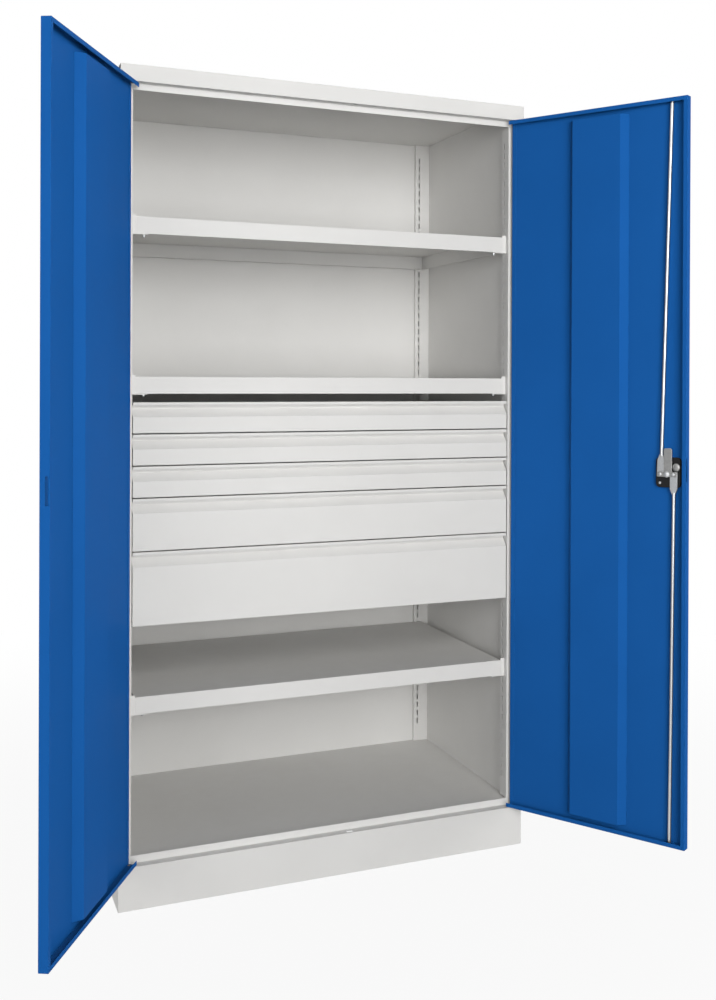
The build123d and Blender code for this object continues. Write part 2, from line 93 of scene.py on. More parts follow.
class Graph:
    """Adds nodes to one node tree and links them."""

    def __init__(self, tree: bpy.types.NodeTree) -> None:
        """Keeps the tree.

        Args:
            tree: The material's or the group's node tree.
        """
        self.tree = tree

    def add(self, kind: str, **settings: object) -> bpy.types.Node:
        """Adds a node.

        Args:
            kind: The node's type name, without its ShaderNode prefix.
            **settings: Properties to set on the node.

        Returns:
            The new node.
        """
        node = self.tree.nodes.new("ShaderNode" + kind)
        for name, value in settings.items():
            setattr(node, name, value)
        return node

    def feed(self, value: object, socket: Socket) -> None:
        """Links a socket, or sets a plain value, on an input.

        Args:
            value: An output socket, a number or a colour.
            socket: The input that takes it.
        """
        if isinstance(value, bpy.types.NodeSocket):
            self.tree.links.new(value, socket)
        elif isinstance(value, tuple) and len(value) == 3 and socket.type == "RGBA":
            socket.default_value = (*value, 1.0)
        else:
            socket.default_value = value

    def math(self, operation: str, a: object, b: object = 0.0, clamp: bool = False) -> Socket:
        """Adds a Math node.

        Args:
            operation: Its operation.
            a: The first operand.
            b: The second operand.
            clamp: Whether the result is held between 0 and 1.

        Returns:
            The result's socket.
        """
        node = self.add("Math", operation=operation, use_clamp=clamp)
        self.feed(a, node.inputs[0])
        self.feed(b, node.inputs[1])
        return node.outputs[0]

    def times(self, a: object, b: object) -> Socket:
        """Multiplies two values."""
        return self.math("MULTIPLY", a, b)

    def plus(self, a: object, b: object) -> Socket:
        """Adds two values."""
        return self.math("ADD", a, b)

    def per(self, size: object, share: float = 1.0) -> Socket:
        """Turns the size of a pattern's features into its scale, or a share of that."""
        return self.math("DIVIDE", share, size)

    def ramp(
        self, value: object, low: float, high: float, to: tuple[float, float] = (0.0, 1.0)
    ) -> Socket:
        """Maps a value's range to another, smoothly and within its limits.

        Args:
            value: The socket to map.
            low: Where the result starts.
            high: Where it ends.
            to: The result's first and last value.

        Returns:
            The mapped value's socket.
        """
        node = self.add("MapRange", interpolation_type="SMOOTHSTEP")
        self.feed(value, node.inputs["Value"])
        node.inputs["From Min"].default_value = low
        node.inputs["From Max"].default_value = high
        node.inputs["To Min"].default_value = to[0]
        node.inputs["To Max"].default_value = to[1]
        return node.outputs["Result"]

    def noise(
        self, scale: object, vector: Socket, detail: float, roughness: float = 0.5
    ) -> Socket:
        """Adds a Noise texture.

        Args:
            scale: Its scale, a number or a socket.
            vector: The coordinates it reads.
            detail: Its octaves.
            roughness: How strong the fine octaves are.

        Returns:
            Its value's socket.
        """
        node = self.add("TexNoise")
        self.feed(vector, node.inputs["Vector"])
        self.feed(scale, node.inputs["Scale"])
        node.inputs["Detail"].default_value = detail
        node.inputs["Roughness"].default_value = roughness
        return node.outputs["Fac"]

    def place(self) -> Socket:
        """Adds a Texture Coordinate node and returns its Object socket."""
        return self.add("TexCoord").outputs["Object"]

    def mix(self, amount: object, a: object, b: object) -> Socket:
        """Mixes two colours.

        Args:
            amount: How much of the second shows.
            a: The first colour.
            b: The second colour.

        Returns:
            The mixed colour's socket.
        """
        node = self.add("Mix", data_type="RGBA", blend_type="MIX")
        factor, first, second, result = 0, 6, 7, 2
        self.feed(amount, node.inputs[factor])
        self.feed(a, node.inputs[first])
        self.feed(b, node.inputs[second])
        return node.outputs[result]


class Group:
    """A shader node group with named inputs and outputs."""

    def __init__(self, name: str, inputs: dict[str, float], outputs: dict[str, str]) -> None:
        """Makes the empty group.

        Args:
            name: The group's name.
            inputs: Each input's name and its default value.
            outputs: Each output's name and its socket type.
        """
        self.tree = bpy.data.node_groups.new(name, "ShaderNodeTree")
        for label, value in inputs.items():
            socket = self.tree.interface.new_socket(label, in_out="INPUT", socket_type=FLOAT)
            socket.default_value = value
        for label, kind in outputs.items():
            self.tree.interface.new_socket(label, in_out="OUTPUT", socket_type=kind)
        self.graph = Graph(self.tree)
        self.source = self.tree.nodes.new("NodeGroupInput")
        self.sink = self.tree.nodes.new("NodeGroupOutput")

    def into(self, graph: Graph, **values: float) -> bpy.types.Node:
        """Places the group in a material.

        Args:
            graph: The material's graph.
            **values: The inputs' values, with underscores for spaces.

        Returns:
            The placed group node.
        """
        node = graph.add("Group", node_tree=self.tree)
        for label, value in values.items():
            graph.feed(value, node.inputs[label.replace("_", " ")])
        return node


def coat_skin_group() -> Group:
    """Builds the skin of a powder coat: fine orange peel over slow waves, and a soft mottle.

    Returns:
        The group, with Height and Mottle.
    """
    peel_share, wave_share = 0.7, 0.3
    mottle_share = 0.12
    mottle_low, mottle_high = 0.3, 0.7
    made = Group(
        "coat_skin",
        {"Peel Size": 0.0012, "Wave Size": 0.02},
        {"Height": FLOAT, "Mottle": FLOAT},
    )
    g = made.graph
    where = g.place()
    peel_size, wave_size = made.source.outputs["Peel Size"], made.source.outputs["Wave Size"]
    peel = g.noise(g.per(peel_size), where, detail=2.0)
    wave = g.noise(g.per(wave_size), where, detail=2.0)
    height = g.plus(g.times(peel, peel_share), g.times(wave, wave_share))
    mottle = g.noise(g.per(wave_size, mottle_share), where, detail=3.0)
    g.feed(height, made.sink.inputs["Height"])
    g.feed(g.ramp(mottle, mottle_low, mottle_high), made.sink.inputs["Mottle"])
    return made


def edge_wear_and_highlight_group() -> Group:
    """Builds a mask of folded and cut edges, broken up along their length, for worn paint and for a painted
    highlight along the edges.

    Returns:
        The group, with Mask and the rounded Normal.
    """
    edge_low, edge_high = 0.02, 0.25
    patch_low, patch_high = 0.35, 0.65
    made = Group(
        "edge_wear_and_highlight",
        {"Radius": 0.0015, "Patch Size": 0.03},
        {"Mask": FLOAT, "Normal": VECTOR},
    )
    g = made.graph
    bevel = g.add("Bevel", samples=4)
    g.feed(made.source.outputs["Radius"], bevel.inputs["Radius"])
    dot = g.add("VectorMath", operation="DOT_PRODUCT")
    g.feed(bevel.outputs["Normal"], dot.inputs[0])
    g.feed(g.add("NewGeometry").outputs["True Normal"], dot.inputs[1])
    turned = g.math("SUBTRACT", 1.0, g.math("ABSOLUTE", dot.outputs["Value"]))
    edge = g.ramp(turned, edge_low, edge_high)
    scale = g.per(made.source.outputs["Patch Size"])
    patch = g.noise(scale, g.place(), detail=4.0, roughness=0.6)
    g.feed(g.times(edge, g.ramp(patch, patch_low, patch_high)), made.sink.inputs["Mask"])
    g.feed(bevel.outputs["Normal"], made.sink.inputs["Normal"])
    return made


def settled_dust_group() -> Group:
    """Builds a mask of the thin dust that settles on level faces.

    Returns:
        The group, with Mask.
    """
    level_low, level_high = 0.6, 0.95
    patch_low, patch_high = 0.3, 0.75
    speck_scale, speck_low, speck_high, speck_amount = 900.0, 0.6, 0.75, 0.4
    made = Group("settled_dust", {"Patch Size": 0.15}, {"Mask": FLOAT})
    g = made.graph
    split = g.add("SeparateXYZ")
    g.feed(g.add("NewGeometry").outputs["Normal"], split.inputs[0])
    level = g.ramp(split.outputs["Z"], level_low, level_high)
    where = g.place()
    scale = g.per(made.source.outputs["Patch Size"])
    patch = g.noise(scale, where, detail=5.0, roughness=0.65)
    speck = g.ramp(g.noise(speck_scale, where, detail=1.0), speck_low, speck_high)
    cover = g.plus(g.ramp(patch, patch_low, patch_high), g.times(speck, speck_amount))
    g.feed(g.math("MULTIPLY", level, cover, clamp=True), made.sink.inputs["Mask"])
    return made


def plated_metal_group() -> Group:
    """Builds zinc plate: cloudy crystals and fine drawn streaks along Z.

    Returns:
        The group, with Tone and Height.
    """
    streak_squeeze = 0.02
    cloud_scale = 35.0
    crystal_share, cloud_share = 0.35, 0.65
    made = Group(
        "plated_metal",
        {"Crystal Size": 0.004, "Streak Width": 0.0004},
        {"Tone": FLOAT, "Height": FLOAT},
    )
    g = made.graph
    where = g.place()
    cells = g.add("TexVoronoi")
    g.feed(where, cells.inputs["Vector"])
    g.feed(g.per(made.source.outputs["Crystal Size"]), cells.inputs["Scale"])
    stretch = g.add("Mapping")
    g.feed(where, stretch.inputs["Vector"])
    stretch.inputs["Scale"].default_value = (1.0, 1.0, streak_squeeze)
    scale = g.per(made.source.outputs["Streak Width"])
    streak = g.noise(scale, stretch.outputs[0], detail=2.0)
    cloud = g.noise(cloud_scale, where, detail=4.0)
    split = g.add("SeparateColor")
    g.feed(cells.outputs["Color"], split.inputs[0])
    tone = g.plus(g.times(split.outputs[0], crystal_share), g.times(cloud, cloud_share))
    g.feed(tone, made.sink.inputs["Tone"])
    g.feed(streak, made.sink.inputs["Height"])
    return made


COAT_SKIN = coat_skin_group()
EDGE_WEAR_AND_HIGHLIGHT = edge_wear_and_highlight_group()
SETTLED_DUST = settled_dust_group()
PLATED_METAL = plated_metal_group()


# Finishes


def shader_graph(name: str) -> tuple[bpy.types.Material, Graph, bpy.types.Node]:
    """Makes a material with an empty Principled shader.

    Args:
        name: The material's name.

    Returns:
        The material, its graph and its Principled node.
    """
    material = bpy.data.materials.new(name)
    material.use_nodes = True
    graph = Graph(material.node_tree)
    return material, graph, material.node_tree.nodes["Principled BSDF"]


def bumped(graph: Graph, height: Socket, distance: float, normal: Socket) -> Socket:
    """Adds a Bump node.

    Args:
        graph: The material's graph.
        height: The relief, from 0 to 1.
        distance: Its depth in metres.
        normal: The normal it works on.

    Returns:
        The bumped normal's socket.
    """
    bump = graph.add("Bump")
    bump.inputs["Distance"].default_value = distance
    graph.feed(height, bump.inputs["Height"])
    graph.feed(normal, bump.inputs["Normal"])
    return bump.outputs["Normal"]


@dataclass(frozen=True)
class PowderCoat:
    """A fine smooth powder coat on sheet steel."""

    name: str
    colour: Colour
    shade: Colour
    # Colour of the edges: partly paint worn thin, partly a painted highlight
    edge: Colour
    dust: Colour
    roughness: float = 0.45
    peel: float = 0.0012
    peel_depth: float = 0.00002
    edge_amount: float = 0.30
    dust_amount: float = 0.12
    gloss: float = 0.20
    mottle_roughness: float = 0.06
    dust_roughness: float = 1.5
    bounce: Colour | None = None
    bounce_amount: float = 0.85

    def calmed(self, g: Graph, seen: Socket, bounce: Colour) -> Socket:
        """Calms the colour for bounced and mirrored light, so that neighbours stay neutral.

        Args:
            g: The material's graph.
            seen: The colour that the camera sees.
            bounce: The calmer colour.

        Returns:
            The colour's socket.
        """
        path = g.add("LightPath")
        diffuse, glossy = path.outputs["Is Diffuse Ray"], path.outputs["Is Glossy Ray"]
        thrown = g.math("MAXIMUM", diffuse, glossy)
        return g.mix(g.times(thrown, self.bounce_amount), seen, bounce)

    def material(self) -> bpy.types.Material:
        """Builds the finish.

        Returns:
            Its material.
        """
        material, g, skin = shader_graph(self.name)
        coat = COAT_SKIN.into(g, Peel_Size=self.peel)
        edges = EDGE_WEAR_AND_HIGHLIGHT.into(g)
        dust = SETTLED_DUST.into(g)
        base = g.mix(coat.outputs["Mottle"], self.shade, self.colour)
        # Lighter edges: partly worn paint, partly a painted highlight along folds and cut edges
        base = g.mix(g.times(edges.outputs["Mask"], self.edge_amount), base, self.edge)
        cover = g.times(dust.outputs["Mask"], self.dust_amount)
        seen = g.mix(cover, base, self.dust)
        if self.bounce is not None:
            seen = self.calmed(g, seen, self.bounce)
        g.feed(seen, skin.inputs["Base Color"])
        mottled = g.times(coat.outputs["Mottle"], self.mottle_roughness)
        rough = g.plus(self.roughness, mottled)
        rough = g.plus(rough, g.times(cover, self.dust_roughness))
        g.feed(rough, skin.inputs["Roughness"])
        normal = bumped(g, coat.outputs["Height"], self.peel_depth, edges.outputs["Normal"])
        g.feed(normal, skin.inputs["Normal"])
        skin.inputs["Specular IOR Level"].default_value = self.gloss
        return material


@dataclass(frozen=True)
class ZincPlate:
    """Zinc-plated or plain steel, clouded and finely streaked."""

    name: str
    bright: Colour = (0.66, 0.67, 0.68)
    dull: Colour = (0.52, 0.53, 0.545)
    # Near-white of the painted highlight along edges
    edge: Colour = (0.95, 0.95, 0.95)
    roughness: float = 0.42
    streak_depth: float = 0.000004
    edge_radius: float = 0.0004
    edge_patch: float = 0.004
    edge_amount: float = 0.0
    crystal: float = 0.0015
    tone_low: float = 0.3
    tone_high: float = 0.7
    tone_gloss: float = 0.08

    def material(self) -> bpy.types.Material:
        """Builds the finish.

        Returns:
            Its material.
        """
        material, g, skin = shader_graph(self.name)
        plate = PLATED_METAL.into(g, Crystal_Size=self.crystal)
        edges = EDGE_WEAR_AND_HIGHLIGHT.into(g, Radius=self.edge_radius, Patch_Size=self.edge_patch)
        tone = g.ramp(plate.outputs["Tone"], self.tone_low, self.tone_high)
        base = g.mix(tone, self.dull, self.bright)
        # Painted highlight: the edges are mixed towards near-white
        painted_edge_highlight = g.times(edges.outputs["Mask"], self.edge_amount)
        g.feed(g.mix(painted_edge_highlight, base, self.edge), skin.inputs["Base Color"])
        rough = g.plus(self.roughness, g.times(tone, -self.tone_gloss))
        g.feed(rough, skin.inputs["Roughness"])
        skin.inputs["Metallic"].default_value = 1.0
        normal = bumped(g, plate.outputs["Height"], self.streak_depth, edges.outputs["Normal"])
        g.feed(normal, skin.inputs["Normal"])
        return material


@dataclass(frozen=True)
class Moulding:
    """Fine-grained black moulding."""

    name: str
    colour: Colour = (0.008, 0.008, 0.0085)
    rubbed: Colour = (0.04, 0.04, 0.042)
    roughness: float = 0.5
    gloss: float = 0.25
    grain: float = 0.0007
    wave: float = 0.006
    grain_depth: float = 0.00004
    edge_radius: float = 0.001
    edge_patch: float = 0.01
    edge_amount: float = 0.6
    mottle_roughness: float = 0.12

    def material(self) -> bpy.types.Material:
        """Builds the finish.

        Returns:
            Its material.
        """
        material, g, skin = shader_graph(self.name)
        coat = COAT_SKIN.into(g, Peel_Size=self.grain, Wave_Size=self.wave)
        edges = EDGE_WEAR_AND_HIGHLIGHT.into(g, Radius=self.edge_radius, Patch_Size=self.edge_patch)
        amount = g.times(edges.outputs["Mask"], self.edge_amount)
        g.feed(g.mix(amount, self.colour, self.rubbed), skin.inputs["Base Color"])
        mottled = g.times(coat.outputs["Mottle"], self.mottle_roughness)
        g.feed(g.plus(self.roughness, mottled), skin.inputs["Roughness"])
        normal = bumped(g, coat.outputs["Height"], self.grain_depth, edges.outputs["Normal"])
        g.feed(normal, skin.inputs["Normal"])
        skin.inputs["Specular IOR Level"].default_value = self.gloss
        return material


GREY_COAT = PowderCoat(
    "grey_coat",
    colour=(0.775, 0.768, 0.75),
    shade=(0.755, 0.748, 0.73),
    edge=(0.84, 0.83, 0.815),
    dust=(0.62, 0.60, 0.56),
)
BLUE_COAT = PowderCoat(
    "blue_coat",
    colour=(0.0122, 0.121, 0.428),
    shade=(0.0117, 0.117, 0.415),
    edge=(0.02, 0.16, 0.53),
    dust=(0.14, 0.20, 0.34),
    edge_amount=0.2,
    gloss=0.01,
    bounce=(0.12, 0.13, 0.15),
)
ZINC = ZincPlate("zinc_plate")
# The rods and the cam carry a painted highlight along their edges
ROD_ZINC = ZincPlate(
    "rod_zinc",
    bright=(0.54, 0.55, 0.56),
    dull=(0.47, 0.48, 0.49),
    edge_radius=0.0012,
    edge_amount=0.8,
)
STAMPED_ZINC = ZincPlate(
    "stamped_zinc",
    bright=(0.37, 0.37, 0.36),
    dull=(0.31, 0.31, 0.305),
    edge_radius=0.0012,
    edge_amount=0.9,
)
PIN_STEEL = ZincPlate(
    "pin_steel",
    bright=(0.26, 0.26, 0.26),
    dull=(0.20, 0.20, 0.20),
    edge=(0.3, 0.3, 0.3),
    roughness=0.6,
)
BLACK = Moulding("black_moulding")


# Modelling


def deselect() -> None:
    """Leaves edit mode and deselects every object."""
    active = bpy.context.view_layer.objects.active
    if active is not None and active.mode != "OBJECT":
        bpy.ops.object.mode_set(mode="OBJECT")
    bpy.ops.object.select_all(action="DESELECT")


INWARD = Vector((0.0, 1.0, 0.0))
OUTWARD = Vector((0.0, -1.0, 0.0))
LEFTWARD = Vector((-1.0, 0.0, 0.0))
RIGHTWARD = Vector((1.0, 0.0, 0.0))
UP = Vector((0.0, 0.0, 1.0))
DOWN = Vector((0.0, 0.0, -1.0))

SMOOTH_ANGLE = math.radians(35.0)

# A cosine over ALIGNED counts as one direction and one under ACROSS as a right angle, and
# a length under SAME_PLACE, in metres, counts as nothing
ALIGNED = 0.9
ACROSS = 0.1
SAME_PLACE = 1e-6

# A button head's rounding and recess are shares of its height, its rim one of its flat top
HEAD_ROUND = 0.55
HEAD_RIM = 0.45
RECESS_DEPTH = 0.5


class Blank:
    """A piece being made: a primitive at its place, then shaped in edit mode."""

    def __init__(self, name: str) -> None:
        """Names the piece that the last primitive starts.

        Args:
            name: The piece's name.
        """
        self.thing = bpy.context.active_object
        self.thing.name = name
        self.thing.data.name = name
        bpy.ops.object.transform_apply(location=True, rotation=True, scale=True)

    @classmethod
    def block(cls, name: str, low: Vector, high: Vector) -> "Blank":
        """Starts from a box between two corners.

        Args:
            name: The piece's name.
            low: Its lowest corner.
            high: Its highest corner.

        Returns:
            The new blank.
        """
        deselect()
        bpy.ops.mesh.primitive_cube_add(size=1.0, location=(low + high) / 2, scale=high - low)
        return cls(name)

    @classmethod
    def round_bar(
        cls, name: str, radius: float, length: float, base: Vector, way: Vector, sides: int = 32
    ) -> "Blank":
        """Starts from a cylinder that stands on its base.

        Args:
            name: The piece's name.
            radius: The bar's radius.
            length: Its length.
            base: The middle of its foot.
            way: The direction it stands in.
            sides: How many sides it has.

        Returns:
            The new blank.
        """
        deselect()
        bpy.ops.mesh.primitive_cylinder_add(
            vertices=sides,
            radius=radius,
            depth=length,
            location=base + way * length / 2,
            rotation=way.to_track_quat("Z", "Y").to_euler(),
        )
        return cls(name)

    def pick(self, mode: str, test: Callable[[Vector, Vector], bool]) -> None:
        """Selects faces by their middle and normal, or edges by their middle and direction.

        Args:
            mode: FACE or EDGE.
            test: Says whether an element is wanted, from its middle and the other vector.
        """
        bpy.ops.object.mode_set(mode="EDIT")
        bpy.ops.mesh.select_mode(type=mode)
        bpy.ops.mesh.select_all(action="DESELECT")
        net = bmesh.from_edit_mesh(self.thing.data)
        for item in net.faces if mode == "FACE" else net.edges:
            if mode == "FACE":
                middle, way = item.calc_center_median(), item.normal
            else:
                first, last = item.verts[0].co, item.verts[1].co
                middle, way = (first + last) / 2, (last - first).normalized()
            if test(middle, way):
                item.select_set(True)
        bmesh.update_edit_mesh(self.thing.data)

    def reach(self, way: Vector) -> float:
        """Returns how far the piece reaches along a direction."""
        bpy.ops.object.mode_set(mode="OBJECT")
        return max(vertex.co.dot(way) for vertex in self.thing.data.vertices)

    def pick_end(self, way: Vector) -> None:
        """Picks the faces that close the piece's end in a direction.

        Args:
            way: The direction.
        """
        end = self.reach(way)

        def closes(middle: Vector, normal: Vector) -> bool:
            """Says whether a face lies in the end and looks outward."""
            return normal.dot(way) > ALIGNED and abs(middle.dot(way) - end) < SAME_PLACE

        self.pick("FACE", closes)

    def pick_rim(self, way: Vector) -> None:
        """Picks the edges round the piece's end in a direction.

        Args:
            way: The direction.
        """
        end = self.reach(way)

        def bounds(middle: Vector, along: Vector) -> bool:
            """Says whether an edge lies in the end and runs across the direction."""
            return abs(middle.dot(way) - end) < SAME_PLACE and abs(along.dot(way)) < ACROSS

        self.pick("EDGE", bounds)

    def inset(self, thickness: float, depth: float = 0.0) -> None:
        """Insets the picked faces."""
        bpy.ops.mesh.inset(thickness=thickness, depth=depth)

    def bevel(self, width: float, segments: int = 3) -> None:
        """Bevels the picked edges."""
        bpy.ops.mesh.bevel(offset=width, segments=segments, affect="EDGES")

    def push(self, step: Vector) -> None:
        """Extrudes the picked faces by a step."""
        bpy.ops.mesh.extrude_region_move(TRANSFORM_OT_translate={"value": step[:]})

    def done(
        self, material: bpy.types.Material, body: Body, slot: Slot, turn: Matrix | None = None
    ) -> None:
        """Finishes the piece.

        Args:
            material: Its material.
            body: The body it rides on.
            slot: Not used.
            turn: How it is carried from its closed place to its place at rest.
        """
        bpy.ops.object.mode_set(mode="OBJECT")
        if turn is not None:
            self.thing.data.transform(turn)
        bpy.ops.object.shade_smooth_by_angle(angle=SMOOTH_ANGLE)
        self.thing.data.materials.clear()
        self.thing.data.materials.append(material)
        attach(self.thing, body.value)
        log.info("made %s on %s", self.thing.name, body.value)

    def copy(self, name: str, step: Vector, body: Body, slot: Slot) -> None:
        """Repeats the finished piece, with a mesh of its own.

        Args:
            name: The copy's name.
            step: How far it lies from the first.
            body: The body it rides on.
            slot: Not used.
        """
        deselect()
        self.thing.select_set(True)
        bpy.context.view_layer.objects.active = self.thing
        bpy.ops.object.duplicate(linked=False)
        twin = bpy.context.active_object
        twin.name = name
        twin.data.name = name
        twin.data.transform(Matrix.Translation(step))
        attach(twin, body.value)
        log.info("made %s on %s", name, body.value)


def fastener(name: str, radius: float, height: float, base: Vector, way: Vector) -> Blank:
    """Shapes a low button head with a round drive recess.

    Args:
        name: The head's name.
        radius: Its radius.
        height: Its height.
        base: The middle of its seat.
        way: The direction it stands in.

    Returns:
        The blank, ready to be finished.
    """
    rounded = height * HEAD_ROUND
    head = Blank.round_bar(name, radius, height, base, way)
    head.pick_rim(way)
    head.bevel(rounded)
    head.pick_end(way)
    head.inset((radius - rounded) * HEAD_RIM)
    head.push(way * height * -RECESS_DEPTH)
    return head


def dress(nodes: Iterable[str], material: bpy.types.Material) -> None:
    """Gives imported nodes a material.

    Args:
        nodes: The nodes' names.
        material: What they are finished in.
    """
    for name in nodes:
        mesh = frame["nodes"][name].data
        mesh.materials.clear()
        mesh.materials.append(material)
        log.info("dressed %s in %s", name, material.name)


def joint(name: str) -> dict:
    """Returns the record's joint of that name."""
    return next(j for j in frame["joints"] if j["name"] == name)


def opened(name: str) -> Matrix:
    """Returns the turn from a closed door to the door at rest.

    Args:
        name: The name of its hinge in the record.

    Returns:
        The turn about that hinge.
    """
    hinge = joint(name)
    pivot = Matrix.Translation(Vector(hinge["pos_m"]))
    angle = math.radians(-hinge["range_deg"][0]) * hinge["axis"][2]
    return pivot @ Matrix.Rotation(angle, 4, "Z") @ pivot.inverted()


# Sub-assemblies


@dataclass
class Palette:
    """One material of each finish."""

    grey: bpy.types.Material = field(default_factory=GREY_COAT.material)
    blue: bpy.types.Material = field(default_factory=BLUE_COAT.material)
    zinc: bpy.types.Material = field(default_factory=ZINC.material)
    rod: bpy.types.Material = field(default_factory=ROD_ZINC.material)
    stamped: bpy.types.Material = field(default_factory=STAMPED_ZINC.material)
    pin: bpy.types.Material = field(default_factory=PIN_STEEL.material)
    black: bpy.types.Material = field(default_factory=BLACK.material)


@dataclass
class Carcass:
    """What stands still: plinth, walls, roof, boards, uprights, shelves, pins, fixed slides.

    The field pin_round is a share of the pin's radius.
    """

    palette: Palette
    shelves: int = 3
    clip_screw_radius: float = 0.0035
    clip_screw_height: float = 0.0062
    clip_reach: float = 0.0335
    clip_depth: float = 0.0135
    pin_radius: float = 0.003
    pin_length: float = 0.0050
    pin_round: float = 0.4
    collar_radius: float = 0.0045
    collar_height: float = 0.0017

    def dress(self) -> None:
        """Paints the sheets and plates the fixed slides."""
        names = frame["record"]["behaviour"]["bodies"][Body.CARCASS.value]
        slides = [n for n in names if n.startswith("slides_fixed")]
        dress((n for n in names if n not in slides), self.palette.grey)
        dress(slides, self.palette.zinc)

    def clip_screws(self) -> None:
        """Adds the screws under the shelves' front clips."""
        first: Blank | None = None
        origin = Vector()
        for shelf in range(1, self.shelves + 1):
            low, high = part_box(f"shelf_clips_{shelf}")
            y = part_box(f"shelf_{shelf}")[0][1] + self.clip_depth
            places = {"left": low[0] + self.clip_reach, "right": high[0] - self.clip_reach}
            for side, x in places.items():
                seat = Vector((x, y, low[2]))
                name = f"clip_screw_{shelf}_{side}"
                if first is None:
                    radius, height = self.clip_screw_radius, self.clip_screw_height
                    first = fastener(name, radius, height, seat, DOWN)
                    first.done(self.palette.zinc, Body.CARCASS, Slot.ZINC)
                    origin = seat
                else:
                    first.copy(name, seat - origin, Body.CARCASS, Slot.ZINC)

    def pin(self, level: str, side: str, way: Vector) -> None:
        """Adds a door's hinge pin, collared at its foot and rounded at its tip.

        Args:
            level: top or bottom.
            side: left or right.
            way: The direction it stands in.
        """
        node = f"hinge_pin_{level}_{side}"
        low, high = (Vector(corner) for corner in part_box(node))
        middle = (low + high) / 2
        base = Vector((middle.x, middle.y, low.z if way is UP else high.z))
        name = f"pivot_pin_{level}_{side}"
        pin = Blank.round_bar(name, self.collar_radius, self.collar_height, base, way)
        pin.pick_end(way)
        pin.inset(self.collar_radius - self.pin_radius)
        pin.push(way * (self.pin_length - self.collar_height))
        pin.pick_rim(way)
        pin.bevel(self.pin_radius * self.pin_round)
        pin.done(self.palette.pin, Body.CARCASS, Slot.ZINC)
        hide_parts(node)

    def build(self) -> None:
        """Adds the clips' screws and the doors' pins."""
        self.clip_screws()
        for side in ("left", "right"):
            self.pin("top", side, DOWN)
            self.pin("bottom", side, UP)


@dataclass
class DrawerStack:
    """Five drawers with their fronts, trays and slides."""

    palette: Palette
    count: int = 5
    screw_radius: float = 0.0036
    screw_height: float = 0.0018
    screw_places: tuple[float, ...] = (0.026, 0.20)
    web: float = 0.0012

    def dress(self) -> None:
        """Paints the fronts and trays, and plates the slides."""
        for n in range(1, self.count + 1):
            dress((f"drawer_front_{n}", f"drawer_tray_{n}"), self.palette.grey)
            dress((f"slide_middle_{n}", f"slide_inner_{n}"), self.palette.zinc)

    def build(self) -> None:
        """Adds the screws that hold the slides to the trays."""
        firsts: dict[str, tuple[Blank, Vector]] = {}
        for n in range(1, self.count + 1):
            low, high = (Vector(corner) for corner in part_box(f"slide_inner_{n}"))
            tray_low, tray_high = (Vector(corner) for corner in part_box(f"drawer_tray_{n}"))
            sides = {
                "left": (tray_low.x - self.web, LEFTWARD),
                "right": (tray_high.x + self.web, RIGHTWARD),
            }
            for side, (x, way) in sides.items():
                for k, reach in enumerate(self.screw_places, 1):
                    seat = Vector((x, low.y + reach, (low.z + high.z) / 2))
                    name = f"slide_screw_{n}_{side}_{k}"
                    if side not in firsts:
                        screw = fastener(name, self.screw_radius, self.screw_height, seat, way)
                        screw.done(self.palette.zinc, Body[f"DRAWER_{n}"], Slot.ZINC)
                        firsts[side] = (screw, seat)
                    else:
                        screw, origin = firsts[side]
                        screw.copy(name, seat - origin, Body[f"DRAWER_{n}"], Slot.ZINC)


@dataclass
class WingDoors:
    """Both leaves and their stiffeners, and the lips along the leaves' end flanges."""

    palette: Palette
    lip: float = 0.010
    lip_sheet: float = 0.0012
    lip_edge: float = 0.0004

    def dress(self) -> None:
        """Paints the doors."""
        dress(("left_leaf", "left_stiffener", "right_leaf", "right_stiffener"), self.palette.blue)

    def lips(self, side: str) -> None:
        """Folds a lip along both end flanges of a leaf.

        Args:
            side: Which leaf, left or right.
        """
        turn = opened(f"{side}_door_hinge")
        mesh = frame["nodes"][f"{side}_leaf"].data
        closed = [turn.inverted() @ vertex.co for vertex in mesh.vertices]
        low = Vector([min(point[k] for point in closed) for k in range(3)])
        high = Vector([max(point[k] for point in closed) for k in range(3)])
        x0 = low.x if side == "left" else low.x + self.lip
        x1 = high.x - self.lip if side == "left" else high.x
        ends = {
            "top": (high.z - self.lip, high.z - self.lip_sheet, DOWN),
            "bottom": (low.z + self.lip_sheet, low.z + self.lip, UP),
        }
        for end, (z0, z1, way) in ends.items():
            corners = Vector((x0, high.y - self.lip_sheet, z0)), Vector((x1, high.y, z1))
            lip = Blank.block(f"flange_lip_{end}_{side}", *corners)
            lip.pick_rim(way)
            lip.bevel(self.lip_edge, segments=2)
            lip.done(self.palette.blue, Body[f"{side.upper()}_DOOR"], Slot.BLUE, turn)

    def build(self) -> None:
        """Adds the lips of both leaves."""
        for side in ("left", "right"):
            self.lips(side)


